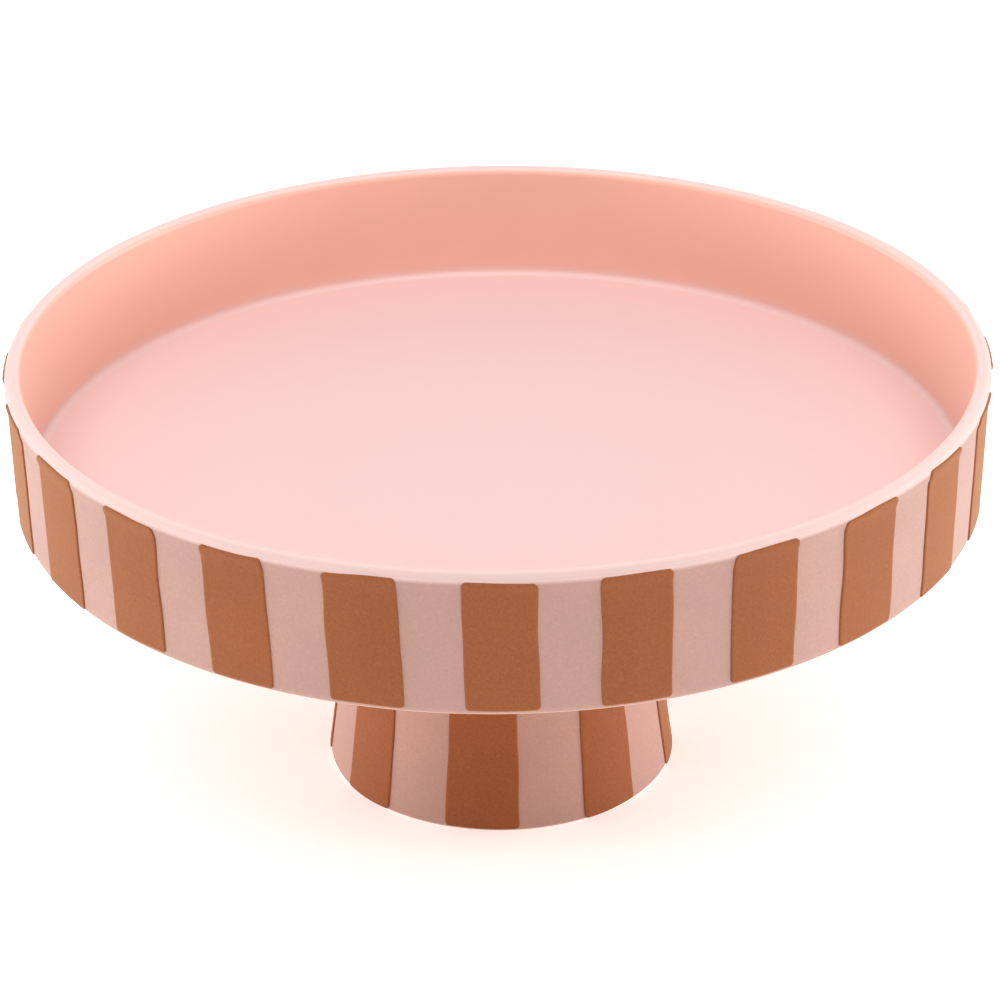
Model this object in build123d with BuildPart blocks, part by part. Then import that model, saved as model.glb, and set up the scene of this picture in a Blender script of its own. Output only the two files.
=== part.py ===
from build123d import *
import math
import os

# Footed ceramic cake stand. A shallow round dish with an upright wall is luted to a hollow
# pedestal, both are banded with raised stripes of coloured slip, and the well of the dish is
# lined with a gloss glaze. All of it is fired together, so nothing on the stand moves.
#
# Units are millimetres, +Z is up, and the origin is the centre of the foot ring, on the surface
# that the stand rests on. The front of the stand faces -Y.

# Overall size
STAND_HEIGHT = 116.3  # table to the top of the lip
RIM_RADIUS = 125.0  # outside of the glazed lip

# Dish
DISH_DEPTH = 38.0  # underside to the top of the lip
WALL_THICKNESS = 3.4  # fired clay at the lip, without glaze
WALL_DRAFT = 1.0  # how far the outer wall leans in from lip to underside
WELL_DRAFT = 1.2  # how far the inner wall leans in from lip to floor
FLOOR_THICKNESS = 6.0
LOWER_EDGE_ROUND = 3.0
WELL_CORNER_ROUND = 1.6
LIP_ROUND = 1.6
GLAZE = 0.35  # thickness of the gloss glaze that lines the well and wraps the lip

# Pedestal, a hollow truncated cone that is widest at the foot ring
FOOT_RADIUS = 45.6
NECK_RADIUS = 35.0
NECK_WALL = 5.0
FOOT_WALL = 5.6
FOOT_ROUND = 1.2

# Slip that joins the pedestal to the dish, squeezed out into a small fillet on both sides
SEAM_THICKNESS = 0.6
SEAM_FILLET = 2.4
SEAM_HOLLOW = 0.35  # how far each fillet's face is hollowed

# Raised stripes of coloured slip
STRIPE_RELIEF = 0.45
DISH_STRIPES = 24
DISH_STRIPE_WIDTH = 17.7
DISH_STRIPE_BELOW_LIP = 2.2  # top of the lip to the top of a stripe
DISH_STRIPE_ABOVE_BASE = 1.9  # underside of the dish to the foot of a stripe
DISH_STRIPE_CORNER = 1.3
DISH_STRIPE_DRIFT = 0.9  # degrees that the spacing drifts, as if set out a little off centre
FOOT_STRIPES = 8
FOOT_STRIPE_TOP_WIDTH = 14.3
FOOT_STRIPE_BOTTOM_WIDTH = 18.3
FOOT_STRIPE_LIFT = 1.5  # table to the foot of a stripe
FOOT_STRIPE_CORNER = 1.5
FOOT_STRIPE_TURN = -6.0  # degrees from the front of the stand to the first stripe's middle
HAND_WOBBLE = 0.35  # how far a stripe's hand-laid edges stray from true

# Heights and radii that follow from the driving dimensions
DISH_BASE = STAND_HEIGHT - DISH_DEPTH
CLAY_TOP = STAND_HEIGHT - GLAZE
FLOOR_TOP = DISH_BASE + FLOOR_THICKNESS
WALL_TOP_RADIUS = RIM_RADIUS - GLAZE
WALL_BASE_RADIUS = WALL_TOP_RADIUS - WALL_DRAFT
WELL_TOP_RADIUS = WALL_TOP_RADIUS - WALL_THICKNESS
WELL_FLOOR_RADIUS = WELL_TOP_RADIUS - WELL_DRAFT
LIP_CENTRE = CLAY_TOP - LIP_ROUND
NECK_TOP = DISH_BASE - SEAM_THICKNESS
STRIPE_REACH = RIM_RADIUS + 10.0  # an outline swept from the axis this far cuts right through

os.makedirs("parts", exist_ok=True)


def write(builder, name):
    """Labels a finished piece and writes it to its own STEP file."""
    builder.part.label = name
    export_step(builder.part, f"parts/{name}.step")


def pedestal_radius(height):
    """Outer radius of the pedestal's cone at a height above the table."""
    return FOOT_RADIUS + (NECK_RADIUS - FOOT_RADIUS) * height / NECK_TOP


def pedestal_bore(height):
    """Inner radius of the pedestal's cone at a height above the table."""
    foot, neck = FOOT_RADIUS - FOOT_WALL, NECK_RADIUS - NECK_WALL
    return foot + (neck - foot) * height / NECK_TOP


def dish_stripe_azimuth(number):
    """Degrees from the front of the stand to the middle of a dish stripe."""
    even = 360 / DISH_STRIPES * number
    turn = math.radians(even)
    return even + DISH_STRIPE_DRIFT * (1 - math.cos(turn) - math.sin(turn))


def stray(number, phase):
    """How far one edge of a hand-laid stripe strays, different for each stripe and each edge."""
    return HAND_WOBBLE * math.sin(2.4 * number + phase)


def outward_plane(azimuth):
    """A plane on the stand's axis that looks outward, azimuth degrees round from the front."""
    turn = math.radians(azimuth)
    outward = (math.sin(turn), -math.cos(turn), 0)
    sideways = (math.cos(turn), math.sin(turn), 0)
    return Plane(origin=(0, 0, 0), x_dir=sideways, z_dir=outward)


def stripe_corners(number, top, bottom, top_width, bottom_width):
    """Corners of one stripe seen from outside, each a little off true."""
    return [
        (-top_width / 2 + stray(number, 0.0), top + stray(number, 4.0) / 2),
        (top_width / 2 + stray(number, 1.3), top + stray(number, 5.1) / 2),
        (bottom_width / 2 + stray(number, 2.2), bottom + stray(number, 0.7) / 2),
        (-bottom_width / 2 + stray(number, 3.1), bottom + stray(number, 1.9) / 2),
    ]


# Dish: thrown clay, revolved from its section
with BuildPart() as dish:
    with BuildSketch(Plane.XZ) as dish_section:
        with BuildLine():
            Polyline(
                (0, DISH_BASE),
                (WALL_BASE_RADIUS, DISH_BASE),
                (WALL_TOP_RADIUS, CLAY_TOP),
                (WELL_TOP_RADIUS, CLAY_TOP),
                (WELL_FLOOR_RADIUS, FLOOR_TOP),
                (0, FLOOR_TOP),
                close=True,
            )
        make_face()
        corners = dish_section.vertices()
        fillet(corners.sort_by_distance((WALL_BASE_RADIUS, DISH_BASE))[0], LOWER_EDGE_ROUND)
        corners = dish_section.vertices()
        fillet(corners.sort_by_distance((WELL_FLOOR_RADIUS, FLOOR_TOP))[0], WELL_CORNER_ROUND)
        corners = dish_section.vertices()
        lip_corners = corners.sort_by_distance((WALL_TOP_RADIUS - WALL_THICKNESS / 2, CLAY_TOP))
        fillet(lip_corners[:2], LIP_ROUND)
    revolve(axis=Axis.Z)
write(dish, "dish")

# Gloss glaze: a coat over the floor, the inner wall and the lip of the dish
with BuildPart() as well_glaze:
    with BuildSketch(Plane.XZ) as glaze_section:
        add(dish_section.sketch_local)
        offset(amount=GLAZE)
        add(dish_section.sketch_local, mode=Mode.SUBTRACT)
        with BuildLine():
            middle_of_wall = WELL_TOP_RADIUS + WALL_THICKNESS / 2
            Polyline(
                (0, DISH_BASE + FLOOR_THICKNESS / 2),
                (middle_of_wall, DISH_BASE + FLOOR_THICKNESS / 2),
                (middle_of_wall, LIP_CENTRE),
                (STRIPE_REACH, LIP_CENTRE),
                (STRIPE_REACH, 2 * STAND_HEIGHT),
                (0, 2 * STAND_HEIGHT),
                close=True,
            )
        make_face(mode=Mode.INTERSECT)
    revolve(axis=Axis.Z)
write(well_glaze, "well_glaze")

# Pedestal: a hollow cone, open at the foot ring and closed above by the dish
with BuildPart() as pedestal:
    with BuildSketch(Plane.XZ) as pedestal_section:
        with BuildLine():
            Polyline(
                (pedestal_bore(0), 0),
                (FOOT_RADIUS, 0),
                (NECK_RADIUS, NECK_TOP),
                (pedestal_bore(NECK_TOP), NECK_TOP),
                close=True,
            )
        make_face()
        fillet(pedestal_section.vertices().group_by(Axis.Y)[0], FOOT_ROUND)
    revolve(axis=Axis.Z)
write(pedestal, "pedestal")

# Luting seam: a layer of slip between the two bodies, with a hollow-faced fillet on each side
with BuildPart() as luting_seam:
    with BuildSketch(Plane.XZ):
        with BuildLine():
            fillet_foot = NECK_TOP - SEAM_FILLET
            outer_tip = (NECK_RADIUS + SEAM_FILLET, DISH_BASE)
            inner_tip = (pedestal_bore(NECK_TOP) - SEAM_FILLET, DISH_BASE)
            outer_foot = (pedestal_radius(fillet_foot), fillet_foot)
            inner_foot = (pedestal_bore(fillet_foot), fillet_foot)
            Line(inner_tip, outer_tip)
            SagittaArc(outer_tip, outer_foot, SEAM_HOLLOW)
            Polyline(
                outer_foot,
                (NECK_RADIUS, NECK_TOP),
                (pedestal_bore(NECK_TOP), NECK_TOP),
                inner_foot,
            )
            SagittaArc(inner_foot, inner_tip, SEAM_HOLLOW)
        make_face()
    revolve(axis=Axis.Z)
write(luting_seam, "luting_seam")

# The coats of slip that the stripes are cut from: one over the dish's outer wall and its lower
# edge, one over the pedestal's cone
with BuildSketch(Plane.XZ) as dish_slip_section:
    add(dish_section.sketch_local)
    offset(amount=STRIPE_RELIEF)
    add(dish_section.sketch_local, mode=Mode.SUBTRACT)
    with Locations((WALL_BASE_RADIUS - LOWER_EDGE_ROUND / 2, DISH_BASE)):
        Rectangle(
            2 * LOWER_EDGE_ROUND,
            LIP_CENTRE - DISH_BASE,
            align=(Align.MIN, Align.MIN),
            mode=Mode.INTERSECT,
        )
with BuildSketch(Plane.XZ) as foot_slip_section:
    with BuildLine():
        foot_slip_bottom, foot_slip_top = FOOT_ROUND, NECK_TOP - SEAM_FILLET
        Polyline(
            (pedestal_radius(foot_slip_bottom), foot_slip_bottom),
            (pedestal_radius(foot_slip_bottom) + STRIPE_RELIEF, foot_slip_bottom),
            (pedestal_radius(foot_slip_top) + STRIPE_RELIEF, foot_slip_top),
            (pedestal_radius(foot_slip_top), foot_slip_top),
            close=True,
        )
    make_face()

# Stripes round the dish wall
for number in range(DISH_STRIPES):
    with BuildPart() as dish_stripe:
        with BuildSketch(outward_plane(dish_stripe_azimuth(number))) as outline:
            with BuildLine():
                corners = stripe_corners(
                    number,
                    STAND_HEIGHT - DISH_STRIPE_BELOW_LIP,
                    DISH_BASE + DISH_STRIPE_ABOVE_BASE,
                    DISH_STRIPE_WIDTH,
                    DISH_STRIPE_WIDTH,
                )
                Polyline(*corners, close=True)
            make_face()
            fillet(outline.vertices(), DISH_STRIPE_CORNER)
        extrude(amount=STRIPE_REACH)
        with BuildSketch(Plane.XZ):
            add(dish_slip_section.sketch_local)
        revolve(axis=Axis.Z, mode=Mode.INTERSECT)
    write(dish_stripe, f"dish_stripe_{number + 1:02d}")

# Stripes round the pedestal, narrower towards the dish
for number in range(FOOT_STRIPES):
    with BuildPart() as foot_stripe:
        azimuth = FOOT_STRIPE_TURN + 360 / FOOT_STRIPES * number
        with BuildSketch(outward_plane(azimuth)) as outline:
            with BuildLine():
                corners = stripe_corners(
                    number,
                    NECK_TOP - SEAM_FILLET - HAND_WOBBLE,
                    FOOT_STRIPE_LIFT,
                    FOOT_STRIPE_TOP_WIDTH,
                    FOOT_STRIPE_BOTTOM_WIDTH,
                )
                Polyline(*corners, close=True)
            make_face()
            fillet(outline.vertices(), FOOT_STRIPE_CORNER)
        extrude(amount=STRIPE_REACH)
        with BuildSketch(Plane.XZ):
            add(foot_slip_section.sketch_local)
        revolve(axis=Axis.Z, mode=Mode.INTERSECT)
    write(foot_stripe, f"foot_stripe_{number + 1:02d}")
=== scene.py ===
import math

import bmesh
import bpy
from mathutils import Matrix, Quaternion, Vector, noise


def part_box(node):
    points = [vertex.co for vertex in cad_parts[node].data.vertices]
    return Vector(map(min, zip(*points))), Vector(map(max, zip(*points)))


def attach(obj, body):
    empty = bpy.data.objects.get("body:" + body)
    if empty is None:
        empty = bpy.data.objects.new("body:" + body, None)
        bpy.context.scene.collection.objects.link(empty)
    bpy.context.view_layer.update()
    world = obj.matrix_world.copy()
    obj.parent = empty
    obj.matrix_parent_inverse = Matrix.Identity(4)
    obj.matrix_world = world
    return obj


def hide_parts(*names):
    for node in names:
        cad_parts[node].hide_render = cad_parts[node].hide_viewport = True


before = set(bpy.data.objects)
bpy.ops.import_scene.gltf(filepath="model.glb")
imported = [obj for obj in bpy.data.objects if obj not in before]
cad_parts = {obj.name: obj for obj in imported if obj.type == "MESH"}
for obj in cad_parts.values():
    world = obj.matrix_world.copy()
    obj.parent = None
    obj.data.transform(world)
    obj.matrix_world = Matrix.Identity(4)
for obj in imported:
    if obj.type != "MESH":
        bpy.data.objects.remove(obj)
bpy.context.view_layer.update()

# A footed ceramic cake stand: a glazed dish on a hollow pedestal, with raised stripes of slip.

MM = 0.001

# Sizes and places from the frame, in metres
dish_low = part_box("dish")[0]
glaze_low, glaze_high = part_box("well_glaze")
pedestal_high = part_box("pedestal")[1]
seam_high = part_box("luting_seam")[1]

DISH_BASE = dish_low.z
LIP_TOP = glaze_high.z
LIP_RADIUS = glaze_high.x - 0.4 * MM  # set back so that the stripes stay inside the CAD box
CLAY_FLOOR = glaze_low.z
FOOT_RADIUS = pedestal_high.x
NECK_TOP = pedestal_high.z
SEAM_RADIUS = seam_high.x

# Dish section
WALL_THICKNESS = 4.2 * MM  # at the lip, with its glaze
WALL_DRAFT = 1.0 * MM
WELL_DRAFT = 1.2 * MM
LOWER_EDGE_ROUND = 3.0 * MM
WELL_CORNER_ROUND = 1.9 * MM
LIP_OVERHANG = 0.5 * MM  # the rolled lip stands this far outside the wall below it
LIP_FLARE_HEIGHT = 2.6 * MM  # over which the wall sweeps out to the lip
LIP_ROUND = WALL_THICKNESS / 2
LIP_SHOULDER = 2.7 * MM  # height of the lip's outer side, taller than it is wide

# Glaze coat
GLAZE = 0.35 * MM
GLAZE_BACK = 1.15 * GLAZE  # its back lies a little inside the clay
GLAZE_EDGE = LIP_TOP - 1.5 * MM  # where the glaze ends, on the outside of the lip
GLAZE_EDGE_ROLL = ((-0.1, 0.12), (0.05, 0.06), (0.2, 0.03))  # height and depth of its edge, in mm
GLAZE_FULL = 0.45 * MM  # above its edge, where the coat is as thick as elsewhere
GLAZE_WALL_TOP = LIP_TOP - LIP_ROUND - 1 * MM
GLAZE_FIRST_RING = 0.5 * MM

# Pedestal and seam sections
FOOT_ROUND = 1.2 * MM
FOOT_WALL = 5.6 * MM
NECK_WALL = 5.0 * MM
NECK_EDGE_OUT = 0.01 * MM  # the neck's top edge is eased by this much
NECK_EDGE_DOWN = 0.2 * MM
SEAM_FILLET = 2.4 * MM
SEAM_SPREAD = 0.96  # how much of the fillet's reach the slip covers under the dish
SEAM_TUCK = 1.5 * MM  # how far the seam's lower edge lies inside the pedestal's wall
SEAM_BITE = 0.1 * MM  # how far its top lies inside the dish
NECK_RADIUS = SEAM_RADIUS - SEAM_FILLET

# Raised stripes
STRIPE_RELIEF = 0.42 * MM
STRIPE_EDGE_ROUND = 0.3 * MM
STRIPE_RIDGE = 0.05 * MM  # slip gathers in a low ridge just inside each edge
RIDGE_FROM_EDGE = 0.8 * MM
RIDGE_WIDTH = 0.5 * MM
STRIPE_SETTLING = 0.03 * MM  # the slip sinks a little as it dries
STRIPE_SUNK = 0.12 * MM  # how far a stripe's back lies inside the clay
STRIPE_CORNER = 1.25 * MM
STRIPE_WANDER = 0.512 * MM  # the most that a hand-laid edge could wander
WANDERS_PER_METRE = 75.0
BRUSH_MARK = 0.02 * MM
BRUSH_MARKS_ACROSS = 300  # per metre; brush marks run up a stripe, so they change faster across it
BRUSH_MARKS_UP = 60
NOISE_PER_STRIPE = 7.3  # how far apart in the noise the stripes, their edges and brushings are
NOISE_PER_EDGE = 3.1
NOISE_PER_BRUSHING = 5
LEFT, RIGHT, BOTTOM, TOP = range(4)  # a stripe's edges
DISH_STRIPE_RISE = 0.2 * MM  # how far each runs up towards the lip
FOOT_STRIPE_DROP = 0.6 * MM  # how far each runs down round the foot's lower edge
FOOT_STRIPE_TAPER = 0.95 * NECK_RADIUS / FOOT_RADIUS
FOOT_STRIPE_NUMBERS = 40  # added to their numbers, so that they wander unlike the dish stripes

# Stripe widths and leans change slowly from one to the next: (mean, spread, pace, start)
DISH_STRIPE_WIDTH = (17.6 * MM, 0.7 * MM, 1.5, -2.9)
DISH_STRIPE_LEAN = (-0.65 * MM, 0.6 * MM, 0.5, -0.3)
FOOT_STRIPE_WIDTH = (17.9 * MM, 1.8 * MM, 2.35, math.pi / 2)
FOOT_STRIPE_LEAN = (0, 0.8 * MM, 1.7, 0)

# Smooth departures from a true circle, as a thrown and fired dish has
WAVE_HEIGHT = 0.07 * MM
WAVE_GAIN = 1.4  # brings the noise to between about -1 and 1
WAVES_ROUND = 1.7
WAVES_PER_METRE = 14.0
WAVES_FROM_RADIUS = 20 * MM  # nothing nearer the axis is moved

# Mesh steps
ON_AXIS = 1e-7
DISH_SEGMENTS = 288
PEDESTAL_SEGMENTS = 192
UNDERSIDE_STEPS = 25
LOWER_EDGE_STEPS = 10
WALL_STEPS = 32
CLAY_LIP_STEPS = 15
GLAZE_LIP_STEPS = 20
GLAZE_BACK_STEPS = 12
SEAM_STEPS = 8
STRIPE_EDGE_LINES = (0.0, 0.03, 0.09, 0.18, 0.3, 0.6, 1.1)  # in from each edge, in mm
STRIPE_COLUMNS = 10
DISH_STRIPE_ROWS = 16
FOOT_STRIPE_ROWS = 26

# Colours, in linear RGB
# the pink clay is darker than its own colour, so it also carries painted shade for the outside
# walls, which are lit less than the well
PINK_CLAY = (0.450, 0.260, 0.213)
CARAMEL = (0.274, 0.0745, 0.0165)
# paler, greyer floor glaze: painted reflection of the pale room and painted light from above, over
# the glaze's own pink
FLOOR_GLAZE_WITH_REFLECTION = (0.79, 0.535, 0.515)
PINK_GLAZE = (0.86, 0.470, 0.369)
# paler glaze where it runs thin over the lip; below it also gives the lip's painted highlight and
# painted shade
THIN_GLAZE = (0.70, 0.49, 0.455)
BARE_CLAY = (0.78, 0.60, 0.50)
# lighter pink for a painted highlight along the dish's rounded lower edge, where light from the
# table catches it
EDGE_HIGHLIGHT_CLAY = (0.80, 0.46, 0.36)
PINK_SHEEN = (1.0, 0.95, 0.95)
CARAMEL_SHEEN = (1.0, 0.66, 0.32)
FLOOR_SHADES = ((0.93, 0.93, 0.93), (0.94, 0.94, 0.94))
WHITE = (1.0, 1.0, 1.0, 1.0)

# Where one colour gives way to another: from and to a height, or a distance from the axis
NEAR_LIP = (LIP_TOP - 2.9 * MM, GLAZE_EDGE)
ABOVE_TABLE = (0.3 * MM, 0.9 * MM)
ABOVE_EDGE_HIGHLIGHT = (DISH_BASE + 0.5 * MM, DISH_BASE + 1.1 * MM)
DISH_NOT_PEDESTAL = (DISH_BASE - 0.2 * MM, DISH_BASE - 0.1 * MM)
ABOVE_GLAZED_FLOOR = (CLAY_FLOOR + 0.5 * MM, CLAY_FLOOR + 4 * MM)
OVER_LIP = (LIP_TOP - 1.0 * MM, LIP_TOP - 0.4 * MM)
OUTSIDE_LIP = (LIP_RADIUS - 2.0 * MM, LIP_RADIUS - 0.8 * MM)

# Studio light: the room's brightness, and each bank's place, size and watts
ROOM_IN_FRONT = 0.46
ROOM_BEHIND = 0.55
FLOOR_GLOW = 0.36  # a lit table top, which keeps the floor pale under the dish
LIGHT_AIM = Vector((0, 0, 0.1))
LIGHTS = {
    "overhead": ((0, 0.2, 1.6), (1.8, 1.4), 3.5),
    "rear_bank": ((0, 1.7, 1.0), (2.2, 1.0), 4.5),
    "left_bank": ((-1.7, 0.2, 0.2), (1.6, 0.3), 20.5),
    "right_bank": ((1.7, 0.2, 0.2), (1.6, 0.3), 23),
    "front_bank": ((0, -0.6, 1.5), (1.8, 1.4), 18.3),
}
FLOOR_RADIUS = 6.0

# Camera, at the photograph's viewing angle, with its small roll and its framing
CAMERA_ELEVATION = math.radians(27.36)
CAMERA_DISTANCE = 1.0124
CAMERA_AIM = Vector((0, 0, 0.060))
CAMERA_ROLL = -0.0086
CAMERA_LENS = 140.21
CAMERA_SENSOR = 36.0
CAMERA_SHIFT = (0.0006, 0.0437)
CAMERA_CLIP = (0.01, 50.0)


# ---------------------------------------------------------------- mesh helpers


def wave(angle, height):
    """A slow wobble of the thrown clay that closes on itself round the dish."""
    x = WAVES_ROUND * math.cos(angle)
    y = WAVES_ROUND * math.sin(angle)
    return noise.noise(Vector((x, y, WAVES_PER_METRE * height))) * WAVE_GAIN


def place(radius, angle, height):
    """A point of the clay. angle is in radians from the front (-Y) towards +X."""
    r = radius
    if radius > WAVES_FROM_RADIUS:
        r += WAVE_HEIGHT * (wave(angle, height) - 1.0)
    return Vector((r * math.sin(angle), -r * math.cos(angle), height))


def rounded_path(corners, run_step=2.5 * MM, arc_steps=8):
    """Points along straight runs between (radius, height, rounding) corners, each rounded."""
    path = []
    for index, (r, z, rounding) in enumerate(corners):
        here = Vector((r, z))
        if rounding <= 0:
            arc = [here]
        else:
            before = (Vector(corners[index - 1][:2]) - here).normalized()
            after = (Vector(corners[(index + 1) % len(corners)][:2]) - here).normalized()
            half = before.angle(after) / 2
            reach = rounding / math.tan(half)
            centre = here + (before + after).normalized() * (rounding / math.sin(half))
            start = here + before * reach - centre
            end = here + after * reach - centre
            sweep = start.angle_signed(end)
            arc = []
            for step in range(arc_steps + 1):
                turn = -sweep * step / arc_steps
                turned = Vector((
                    start.x * math.cos(turn) - start.y * math.sin(turn),
                    start.x * math.sin(turn) + start.y * math.cos(turn),
                ))
                arc.append(centre + turned)
        if path:
            last = path[-1]
            pieces = max(1, int((arc[0] - last).length / run_step))
            for piece in range(1, pieces):
                path.append(last.lerp(arc[0], piece / pieces))
        path.extend(arc)
    return path


def lathe(name, path, segments, closed=False):
    """Turns a (radius, height) path into a mesh: closed makes a ring, open meets the axis."""
    bm = bmesh.new()
    rings = []
    for point in path:
        if point.x < ON_AXIS:
            rings.append([bm.verts.new((0, 0, point.y))])
            continue
        ring = []
        for step in range(segments):
            angle = 2 * math.pi * step / segments
            ring.append(bm.verts.new(place(point.x, angle, point.y)))
        rings.append(ring)
    pairs = list(zip(rings, rings[1:]))
    if closed:
        pairs.append((rings[-1], rings[0]))
    for lower, upper in pairs:
        if len(lower) == len(upper) == 1:
            continue
        for step in range(segments):
            following = (step + 1) % segments
            if len(lower) == 1:
                bm.faces.new((lower[0], upper[following], upper[step]))
            elif len(upper) == 1:
                bm.faces.new((lower[step], lower[following], upper[0]))
            else:
                bm.faces.new((lower[step], lower[following], upper[following], upper[step]))
    return finished_object(name, bm)


def finished_object(name, bm):
    """Puts a bmesh into the scene as a smooth-shaded object with outward normals."""
    bmesh.ops.recalc_face_normals(bm, faces=bm.faces)
    for face in bm.faces:
        face.smooth = True
    mesh = bpy.data.meshes.new(name)
    bm.to_mesh(mesh)
    bm.free()
    piece = bpy.data.objects.new(name, mesh)
    bpy.context.scene.collection.objects.link(piece)
    return piece


def stand_in(piece, node, material):
    """Shows a piece in place of a CAD node, with the node's slot and the piece's own material."""
    piece.data.materials.append(material)
    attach(piece, "root")
    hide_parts(node)


# ---------------------------------------------------------------- materials


class Nodes:
    """A small helper that adds nodes to a material and joins them up."""

    MIX_COLOURS = (6, 7)  # the Mix node's two colour inputs
    MIX_RESULT = 2

    def __init__(self, name):
        self.material = bpy.data.materials.new(name)
        self.material.use_nodes = True
        self.tree = self.material.node_tree
        self.shader = self.tree.nodes["Principled BSDF"]
        self.place = self.add("ShaderNodeTexCoord").outputs["Object"]

    def add(self, kind, **values):
        node = self.tree.nodes.new(kind)
        for key, value in values.items():
            setattr(node, key, value)
        return node

    def join(self, output, node, socket):
        self.tree.links.new(output, node.inputs[socket])

    def feed(self, socket, output):
        """Joins a node's output to one of the shader's sockets."""
        self.join(output, self.shader, socket)

    def set(self, **values):
        """Sets the shader's own sockets. An underscore stands for a space in a socket's name."""
        for key, value in values.items():
            self.shader.inputs[key.replace("_", " ")].default_value = value

    def stretched(self, factors):
        """Object coordinates multiplied, axis by axis."""
        node = self.add("ShaderNodeVectorMath", operation="MULTIPLY")
        node.inputs[1].default_value = factors
        self.join(self.place, node, 0)
        return node.outputs["Vector"]

    def noise(self, scale, detail=2.0, roughness=0.5, stretch=(1, 1, 1)):
        node = self.add("ShaderNodeTexNoise")
        node.inputs["Scale"].default_value = scale
        node.inputs["Detail"].default_value = detail
        node.inputs["Roughness"].default_value = roughness
        self.join(self.stretched(stretch), node, "Vector")
        return node.outputs["Fac"]

    def ramp(self, value, low, high):
        """0 below low, 1 above high, smooth between."""
        node = self.add("ShaderNodeMapRange", interpolation_type="SMOOTHSTEP")
        node.inputs["From Min"].default_value = low
        node.inputs["From Max"].default_value = high
        self.join(value, node, "Value")
        return node.outputs["Result"]

    def between(self, factor, first, last):
        """A number that goes from first to last as factor goes from 0 to 1."""
        node = self.add("ShaderNodeMapRange")
        node.inputs["To Min"].default_value = first
        node.inputs["To Max"].default_value = last
        self.join(factor, node, "Value")
        return node.outputs["Result"]

    def height(self):
        node = self.add("ShaderNodeSeparateXYZ")
        self.join(self.place, node, "Vector")
        return node.outputs["Z"]

    def distance_from_axis(self):
        node = self.add("ShaderNodeVectorMath", operation="LENGTH")
        self.join(self.stretched((1, 1, 0)), node, 0)
        return node.outputs["Value"]

    def scaled(self, value, factor):
        node = self.add("ShaderNodeMath", operation="MULTIPLY")
        node.inputs[1].default_value = factor
        self.join(value, node, 0)
        return node.outputs["Value"]

    def mix(self, factor, first, second):
        """Mixes two colours. Each may be a colour or another node's output."""
        node = self.add("ShaderNodeMix", data_type="RGBA")
        self.join(factor, node, "Factor")
        for index, colour in zip(self.MIX_COLOURS, (first, second)):
            if isinstance(colour, tuple):
                node.inputs[index].default_value = (*colour, 1.0)
            else:
                self.join(colour, node, index)
        return node.outputs[self.MIX_RESULT]

    def bump(self, value, distance, strength, under=None):
        """Bumps of a height in metres, on top of those under them."""
        node = self.add("ShaderNodeBump")
        node.inputs["Distance"].default_value = distance
        node.inputs["Strength"].default_value = strength
        self.join(value, node, "Height")
        if under is not None:
            self.join(under, node, "Normal")
        return node.outputs["Normal"]


def tint(colour, factor):
    """A colour made lighter or darker."""
    return tuple(min(1.0, channel * factor) for channel in colour)


def fired_clay(make, shade):
    """The clay's colour, paler by the lip and on the foot ring, with a painted highlight along the
    dish's lower edge.
    """
    near_lip = make.ramp(make.height(), *NEAR_LIP)
    shade = make.mix(near_lip, shade, THIN_GLAZE)
    above_table = make.ramp(make.height(), *ABOVE_TABLE)
    shade = make.mix(above_table, BARE_CLAY, shade)
    # Painted highlight: a lighter band along the dish's rounded lower edge.
    above_edge = make.ramp(make.height(), *ABOVE_EDGE_HIGHLIGHT)
    edge_highlight = make.mix(above_edge, EDGE_HIGHLIGHT_CLAY, shade)
    on_dish = make.ramp(make.height(), *DISH_NOT_PEDESTAL)
    return make.mix(on_dish, shade, edge_highlight)


def matte_slip(name, colour, roughness, grain, sheen, sheen_tint, body=False):
    """Unglazed coloured slip: slow mottling, dark and light grains, and a dry, grainy surface."""
    make = Nodes(name)
    slow = make.ramp(make.noise(scale=45.0, detail=3.0), low=0.3, high=0.7)
    shade = make.mix(slow, tint(colour, 0.96), tint(colour, 1.03))
    fine = make.noise(scale=1500.0, detail=3.0, roughness=0.65)
    dark_grains = make.scaled(make.ramp(fine, low=0.45, high=0.68), grain)
    shade = make.mix(dark_grains, shade, tint(colour, 0.8))
    other = make.noise(scale=1150.0, detail=2.0, roughness=0.6)
    light_grains = make.scaled(make.ramp(other, low=0.5, high=0.75), grain)
    shade = make.mix(light_grains, shade, tint(colour, 1.2))
    if body:
        shade = fired_clay(make, shade)
    make.feed("Base Color", shade)
    make.set(
        Roughness=roughness, Specular_IOR_Level=0.4,
        Sheen_Weight=sheen, Sheen_Roughness=0.45, Sheen_Tint=(*sheen_tint, 1.0),
    )
    coarse = make.bump(make.noise(scale=260.0, detail=2.0), distance=0.05 * MM, strength=0.5)
    dry = make.bump(fine, distance=0.035 * MM, strength=0.6, under=coarse)
    make.feed("Normal", dry)
    return make.material


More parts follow.
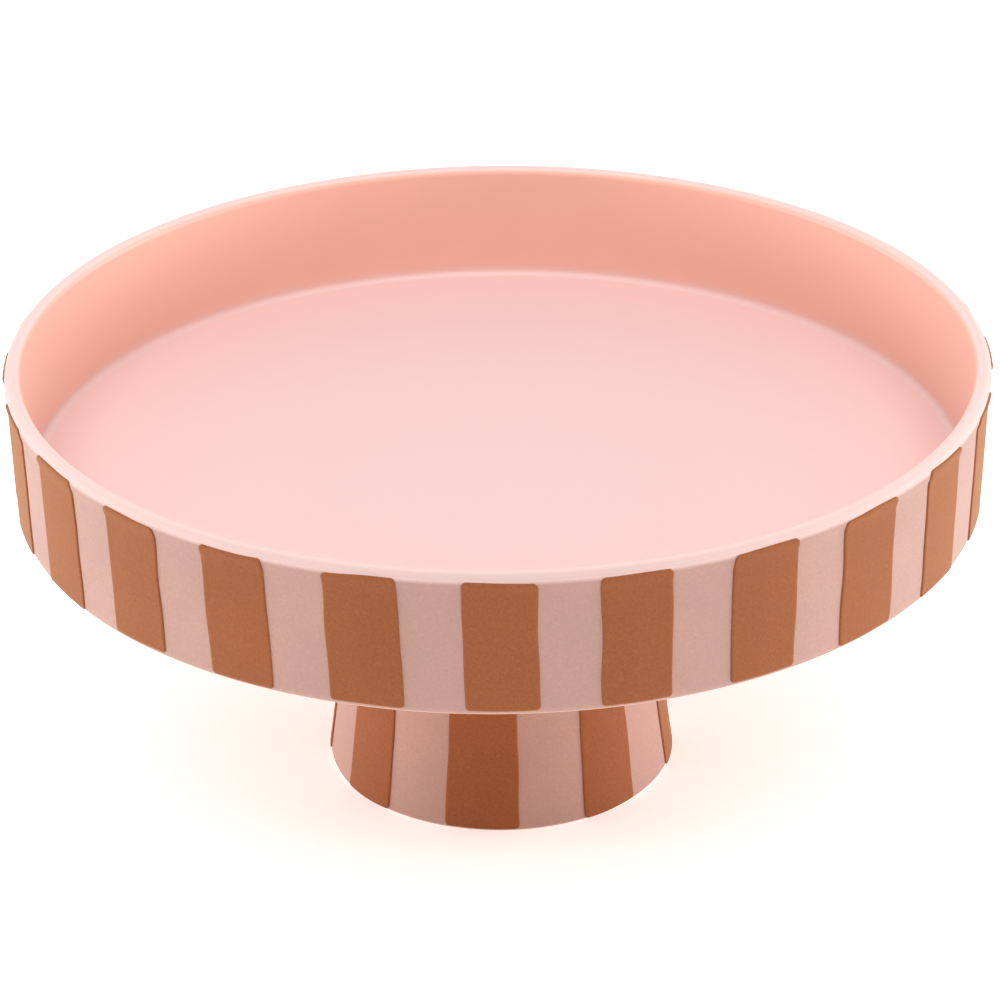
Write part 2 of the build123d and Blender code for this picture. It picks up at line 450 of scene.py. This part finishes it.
def gloss_glaze(name, floor_colour, colour, thin_colour):
    """Smooth glaze: paler and greyer on the floor, which is painted light and painted reflection;
    warmer on the wall; thin over the lip, with a painted highlight on its top and painted shade on
    its outer side.
    """
    make = Nodes(name)
    slow = make.ramp(make.noise(scale=22.0, detail=2.0), low=0.3, high=0.7)
    shade = make.mix(slow, tint(colour, 0.985), tint(colour, 1.012))
    # Painted light and reflection: the floor gets a paler, greyer colour than the wall.
    above_floor = make.ramp(make.height(), *ABOVE_GLAZED_FLOOR)
    shade = make.mix(above_floor, floor_colour, shade)
    # Painted highlight on the lip's top, lighter than the thin glaze, and painted shade on its
    # outer side, a little darker.
    over_lip = make.ramp(make.height(), *OVER_LIP)
    shade = make.mix(over_lip, shade, tint(thin_colour, 1.12))
    outside = make.ramp(make.distance_from_axis(), *OUTSIDE_LIP)
    shade = make.mix(outside, shade, tint(thin_colour, 0.95))
    make.feed("Base Color", shade)
    make.feed("Roughness", make.between(outside, first=0.5, last=0.75))
    make.feed("Coat Weight", make.between(outside, first=0.3, last=0.0))
    make.set(Specular_IOR_Level=0.5, Coat_Roughness=0.42, Coat_IOR=1.5)
    ripple = make.bump(make.noise(scale=70.0, detail=2.0), distance=0.12 * MM, strength=0.35)
    thrown = make.noise(scale=6.0, detail=3.0, roughness=0.6, stretch=(1, 1, 70))
    rings = make.bump(thrown, distance=0.15 * MM, strength=0.3, under=ripple)
    pits = make.noise(scale=700.0, detail=2.0)
    skin = make.bump(pits, distance=0.01 * MM, strength=0.3, under=rings)
    make.feed("Normal", skin)
    return make.material


pink_clay = matte_slip(
    "pink_clay", PINK_CLAY, roughness=0.72, grain=0.35,
    sheen=0.12, sheen_tint=PINK_SHEEN, body=True,
)
caramel_slip = matte_slip(
    "caramel_slip", CARAMEL, roughness=0.75, grain=0.75,
    sheen=0.22, sheen_tint=CARAMEL_SHEEN,
)
pink_gloss_glaze = gloss_glaze("pink_gloss_glaze", FLOOR_GLAZE_WITH_REFLECTION, PINK_GLAZE, THIN_GLAZE)


# ---------------------------------------------------------------- dish


def wall_radius(height):
    """Outside of the dish wall: nearly upright, swept out and rounded over at the lip."""
    up = (height - DISH_BASE) / (LIP_TOP - DISH_BASE)
    radius = LIP_RADIUS - LIP_OVERHANG - WALL_DRAFT * (1 - up)
    shoulder = LIP_TOP - LIP_SHOULDER
    into_flare = (height - (shoulder - LIP_FLARE_HEIGHT)) / LIP_FLARE_HEIGHT
    into_flare = min(1.0, max(0.0, into_flare))
    radius += (LIP_RADIUS - radius) * into_flare**2 * (3 - 2 * into_flare)
    if height > shoulder:
        risen = min(1.0, (height - shoulder) / LIP_SHOULDER)
        radius -= LIP_ROUND * (1 - math.sqrt(1 - risen**2))
    edge_centre = DISH_BASE + LOWER_EDGE_ROUND
    if height < edge_centre:
        below = edge_centre - height
        radius -= LOWER_EDGE_ROUND - math.sqrt(max(0.0, LOWER_EDGE_ROUND**2 - below**2))
    return radius


def lip_turn(height):
    """The turn at which lip_point is at a height on the lip's outer side."""
    return math.asin((height - LIP_TOP) / LIP_SHOULDER + 1)


def lip_point(turn, depth):
    """A point on the lip, turned up from its outer side and over to its inner side."""
    reach = LIP_ROUND - depth
    rise = LIP_SHOULDER - depth if turn < math.pi / 2 else reach
    base = LIP_TOP - depth - rise
    radius = LIP_RADIUS - LIP_ROUND + reach * math.cos(turn)
    return Vector((radius, base + rise * math.sin(turn)))


def make_dish():
    """The thrown dish: underside, outer wall, and the clay that the glaze covers."""
    outer = []
    flat_radius = wall_radius(DISH_BASE)
    for step in range(UNDERSIDE_STEPS):
        outer.append(Vector((flat_radius * step / UNDERSIDE_STEPS, DISH_BASE)))
    for step in range(LOWER_EDGE_STEPS + 1):
        turn = math.pi / 2 * step / LOWER_EDGE_STEPS
        height = DISH_BASE + LOWER_EDGE_ROUND * (1 - math.cos(turn))
        outer.append(Vector((wall_radius(height), height)))
    start = DISH_BASE + LOWER_EDGE_ROUND
    for step in range(1, WALL_STEPS + 1):
        height = start + (GLAZE_EDGE - start) * step / WALL_STEPS
        outer.append(Vector((wall_radius(height), height)))
    edge_turn = lip_turn(GLAZE_EDGE)
    for step in range(1, CLAY_LIP_STEPS):
        turn = edge_turn + (math.pi - edge_turn) * step / CLAY_LIP_STEPS
        outer.append(lip_point(turn, GLAZE))
    inner_top = LIP_RADIUS - WALL_THICKNESS + GLAZE
    inner = rounded_path([
        (inner_top, LIP_TOP - LIP_ROUND, 0),
        (inner_top - WELL_DRAFT, CLAY_FLOOR, WELL_CORNER_ROUND),
        (0, CLAY_FLOOR, 0),
    ], run_step=4 * MM)
    return lathe("dish_body", outer + inner, DISH_SEGMENTS)


def make_well_glaze():
    """The glaze: a coat over the floor, the inner wall and the lip, with a rolled outer edge."""
    top = []
    for rise, sunk in GLAZE_EDGE_ROLL:
        height = GLAZE_EDGE + rise * MM
        top.append(Vector((wall_radius(height) - sunk * MM, height)))
    edge_turn = lip_turn(GLAZE_EDGE + GLAZE_FULL)
    for step in range(GLAZE_LIP_STEPS + 1):
        turn = edge_turn + (math.pi - edge_turn) * step / GLAZE_LIP_STEPS
        top.append(lip_point(turn, 0))
    inner_top = LIP_RADIUS - WALL_THICKNESS
    floor = CLAY_FLOOR + GLAZE
    top += rounded_path([
        (inner_top, GLAZE_WALL_TOP, 0),
        (inner_top - WELL_DRAFT, floor, WELL_CORNER_ROUND),
        (0, floor, 0),
    ])
    back_floor = floor - GLAZE_BACK
    back_corner = inner_top - WELL_DRAFT + GLAZE_BACK
    back = [Vector((0, back_floor))]
    back += rounded_path([
        (GLAZE_FIRST_RING, back_floor, 0),
        (back_corner, back_floor, WELL_CORNER_ROUND + GLAZE_BACK),
        (inner_top + GLAZE_BACK, LIP_TOP - LIP_ROUND, 0),
    ], run_step=5 * MM)
    for step in range(1, GLAZE_BACK_STEPS):
        turn = math.pi - (math.pi - edge_turn) * step / GLAZE_BACK_STEPS
        back.append(lip_point(turn, GLAZE_BACK))
    return lathe("glaze_coat", top + back, DISH_SEGMENTS, closed=True)


# ---------------------------------------------------------------- pedestal


def pedestal_radius(height):
    """Outside of the pedestal's cone, rounded under at the foot."""
    radius = FOOT_RADIUS + (NECK_RADIUS - FOOT_RADIUS) * height / NECK_TOP
    if height < FOOT_ROUND:
        radius -= FOOT_ROUND - math.sqrt(FOOT_ROUND**2 - (FOOT_ROUND - height) ** 2)
    return radius


def make_pedestal():
    """The hollow pedestal, with a rounded foot ring."""
    section = rounded_path([
        (NECK_RADIUS, NECK_TOP, 0),
        (NECK_RADIUS - NECK_WALL, NECK_TOP, 0),
        (FOOT_RADIUS - FOOT_WALL, 0, FOOT_ROUND),
        (FOOT_RADIUS, 0, FOOT_ROUND),
        (NECK_RADIUS + NECK_EDGE_OUT, NECK_TOP - NECK_EDGE_DOWN, 0),
    ])
    return lathe("pedestal_body", section, PEDESTAL_SEGMENTS, closed=True)


def seam_point(edge, outward, step):
    """A point of the seam's hollow fillet. Step 0 is at the dish, the last on the pedestal."""
    turn = math.pi / 2 * step / SEAM_STEPS
    reach = SEAM_FILLET * (1 - math.sin(turn)) * SEAM_SPREAD
    return Vector((edge + outward * reach, DISH_BASE - SEAM_FILLET * (1 - math.cos(turn))))


def make_seam():
    """Slip squeezed out round the joint, smoothed with a finger into a hollow fillet."""
    bore = NECK_RADIUS - NECK_WALL
    section = []
    for step in range(SEAM_STEPS + 1):
        section.append(seam_point(NECK_RADIUS, 1, step))
    section.append(Vector((NECK_RADIUS - SEAM_TUCK, DISH_BASE - SEAM_FILLET)))
    section.append(Vector((bore + SEAM_TUCK, DISH_BASE - SEAM_FILLET)))
    for step in range(SEAM_STEPS + 1):
        section.append(seam_point(bore, -1, SEAM_STEPS - step))
    section.append(Vector((bore, DISH_BASE + SEAM_BITE)))
    section.append(Vector((NECK_RADIUS, DISH_BASE + SEAM_BITE)))
    return lathe("seam_slip", section, PEDESTAL_SEGMENTS, closed=True)


# ---------------------------------------------------------------- stripes


def grid_lines(length, steps):
    """Distances from 0 to length, close together near both ends."""
    near = [line * MM for line in STRIPE_EDGE_LINES]
    inside = length - 2 * near[-1]
    middle = [near[-1] + inside * step / steps for step in range(1, steps)]
    return near + middle + [length - line for line in reversed(near)]


def wander(number, edge, along):
    """A hand-laid edge's slow wander, different for each stripe and each of its edges."""
    x = number * NOISE_PER_STRIPE
    y = edge * NOISE_PER_EDGE
    return STRIPE_WANDER * noise.noise(Vector((x, y, along * WANDERS_PER_METRE)))


def brush_mark(number, across, height):
    """Fine streaks that the brush leaves up a stripe."""
    x = across * BRUSH_MARKS_ACROSS + number * NOISE_PER_BRUSHING
    return BRUSH_MARK * noise.noise(Vector((x, height * BRUSH_MARKS_UP, number)))


def edge_thickness(distance):
    """Thickness of the slip at a distance in from the stripe's edge."""
    inset = min(distance, STRIPE_EDGE_ROUND) / STRIPE_EDGE_ROUND
    body = STRIPE_RELIEF * math.sqrt(1 - (1 - inset) ** 2)
    ridge = STRIPE_RIDGE * math.exp(-(((distance - RIDGE_FROM_EDGE) / RIDGE_WIDTH) ** 2))
    return body + ridge * inset


def corner_inset(from_end):
    """How far a stripe's sides come in near its ends, where its corners are rounded."""
    if from_end >= STRIPE_CORNER:
        return 0.0
    return STRIPE_CORNER - math.sqrt(STRIPE_CORNER**2 - (STRIPE_CORNER - from_end) ** 2)


def cover(bm, front, back):
    """Faces over a stripe's front and back grids, and round its two sides and two ends."""
    rows = len(front)
    columns = len(front[0])
    for row in range(rows - 1):
        for column in range(columns - 1):
            following = column + 1
            bm.faces.new((
                front[row][column], front[row][following],
                front[row + 1][following], front[row + 1][column],
            ))
            bm.faces.new((
                back[row][column], back[row + 1][column],
                back[row + 1][following], back[row][following],
            ))
    for row in range(rows - 1):
        for column in (0, columns - 1):
            bm.faces.new((
                front[row][column], front[row + 1][column],
                back[row + 1][column], back[row][column],
            ))
    for column in range(columns - 1):
        for row in (0, rows - 1):
            bm.faces.new((
                front[row][column], back[row][column],
                back[row][column + 1], front[row][column + 1],
            ))


def make_stripe(name, number, azimuth, low, high, width_low, width_high, lean, radius_at, rows):
    """One stripe: a closed, pillow-edged skin of slip laid on the clay."""
    front, back = [], []
    bm = bmesh.new()
    for up in grid_lines(high - low, rows):
        part = up / (high - low)
        from_end = min(up, high - low - up)
        half = (width_low + (width_high - width_low) * part) / 2 - corner_inset(from_end)
        shift = lean * (part - 0.5)
        left = -half + shift + wander(number, LEFT, up)
        right = half + shift + wander(number, RIGHT, up)
        front_row, back_row = [], []
        for across in grid_lines(right - left, STRIPE_COLUMNS):
            x = left + across
            tilt = wander(number, BOTTOM, x) * (1 - part) + wander(number, TOP, x) * part
            height = low + up + tilt
            distance = min(across, right - left - across, from_end)
            thickness = edge_thickness(distance) + brush_mark(number, x, height) - STRIPE_SETTLING
            radius = radius_at(height)
            angle = azimuth + x / radius
            front_row.append(bm.verts.new(place(radius + thickness, angle, height)))
            back_row.append(bm.verts.new(place(radius - STRIPE_SUNK, angle, height)))
        front.append(front_row)
        back.append(back_row)
    cover(bm, front, back)
    return finished_object(name, bm)


def cad_stripes(prefix):
    """The CAD stripes whose names start with prefix: each one's number, name and box."""
    names = sorted(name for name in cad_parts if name.startswith(prefix))
    return [(number, name, *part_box(name)) for number, name in enumerate(names)]


def azimuth_of(low, high):
    """Angle of a box's middle, in radians from the front."""
    middle = (low + high) / 2
    return math.atan2(middle.x, -middle.y)


def varied(number, mean, spread, pace, start):
    """A width or lean that changes slowly from one stripe to the next."""
    return mean + spread * math.sin(pace * number + start)


def add_dish_stripes():
    """The stripes round the dish, one for each CAD stripe."""
    for number, node, low, high in cad_stripes("dish_stripe_"):
        width = varied(number, *DISH_STRIPE_WIDTH)
        lean = varied(number, *DISH_STRIPE_LEAN)
        piece = make_stripe(
            node.replace("dish_", "wall_"), number, azimuth_of(low, high),
            low.z, high.z + DISH_STRIPE_RISE, width, width,
            lean, radius_at=wall_radius, rows=DISH_STRIPE_ROWS,
        )
        stand_in(piece, node, caramel_slip)


def add_foot_stripes():
    """The stripes round the pedestal, narrower towards the dish."""
    for number, node, low, high in cad_stripes("foot_stripe_"):
        width = varied(number, *FOOT_STRIPE_WIDTH)
        lean = varied(number, *FOOT_STRIPE_LEAN)
        piece = make_stripe(
            node.replace("foot_", "cone_"), number + FOOT_STRIPE_NUMBERS, azimuth_of(low, high),
            low.z - FOOT_STRIPE_DROP, high.z, width, width * FOOT_STRIPE_TAPER,
            lean, radius_at=pedestal_radius, rows=FOOT_STRIPE_ROWS,
        )
        stand_in(piece, node, caramel_slip)


# ---------------------------------------------------------------- stage


def add_floor():
    """A plain pale floor."""
    bm = bmesh.new()
    bmesh.ops.create_circle(bm, cap_ends=True, segments=96, radius=FLOOR_RADIUS)
    floor = finished_object("floor", bm)
    make = Nodes("floor")
    make.feed("Base Color", make.mix(make.noise(scale=3.0), *FLOOR_SHADES))
    make.set(
        Roughness=0.9, Specular_IOR_Level=0.1,
        Emission_Color=WHITE, Emission_Strength=FLOOR_GLOW,
    )
    floor.data.materials.append(make.material)


def add_light(name, place_at, size, watts):
    """A soft rectangular studio light, aimed at the dish."""
    data = bpy.data.lights.new(name, "AREA")
    data.shape = "RECTANGLE"
    data.size, data.size_y = size
    data.energy = watts
    light = bpy.data.objects.new(name, data)
    light.location = place_at
    light.rotation_mode = "QUATERNION"
    light.rotation_quaternion = (LIGHT_AIM - Vector(place_at)).to_track_quat("-Z", "Y")
    bpy.context.scene.collection.objects.link(light)


def add_room():
    """A pale room, a little brighter behind the dish than in front of it."""
    world = bpy.data.worlds.new("studio")
    world.use_nodes = True
    tree = world.node_tree
    direction = tree.nodes.new("ShaderNodeTexCoord")
    split = tree.nodes.new("ShaderNodeSeparateXYZ")
    front_to_back = tree.nodes.new("ShaderNodeMapRange")
    front_to_back.inputs["From Min"].default_value = -1.0
    front_to_back.inputs["To Min"].default_value = ROOM_IN_FRONT
    front_to_back.inputs["To Max"].default_value = ROOM_BEHIND
    tree.links.new(direction.outputs["Generated"], split.inputs["Vector"])
    tree.links.new(split.outputs["Y"], front_to_back.inputs["Value"])
    background = tree.nodes["Background"]
    background.inputs["Color"].default_value = WHITE
    tree.links.new(front_to_back.outputs["Result"], background.inputs["Strength"])
    bpy.context.scene.world = world


def add_studio():
    """Plain soft studio light: banks above, behind, in front and low at both sides, and a room."""
    add_room()
    for name, (place_at, size, watts) in LIGHTS.items():
        add_light(name, place_at, size, watts)


def add_camera():
    """The camera, in front and above, with a long lens."""
    data = bpy.data.cameras.new("camera")
    data.lens = CAMERA_LENS
    data.sensor_width = CAMERA_SENSOR
    data.shift_x, data.shift_y = CAMERA_SHIFT
    data.clip_start, data.clip_end = CAMERA_CLIP
    camera = bpy.data.objects.new("camera", data)
    back = Vector((0, -math.cos(CAMERA_ELEVATION), math.sin(CAMERA_ELEVATION)))
    camera.location = CAMERA_AIM + CAMERA_DISTANCE * back
    camera.rotation_mode = "QUATERNION"
    looking = (-back).to_track_quat("-Z", "Y")
    camera.rotation_quaternion = looking @ Quaternion((0, 0, 1), CAMERA_ROLL)
    bpy.context.scene.collection.objects.link(camera)
    bpy.context.scene.camera = camera


add_camera()
add_floor()
add_studio()
bpy.context.scene.view_settings.view_transform = "Standard"

stand_in(make_dish(), "dish", pink_clay)
stand_in(make_well_glaze(), "well_glaze", pink_gloss_glaze)
stand_in(make_pedestal(), "pedestal", pink_clay)
stand_in(make_seam(), "luting_seam", pink_clay)
add_dish_stripes()
add_foot_stripes()
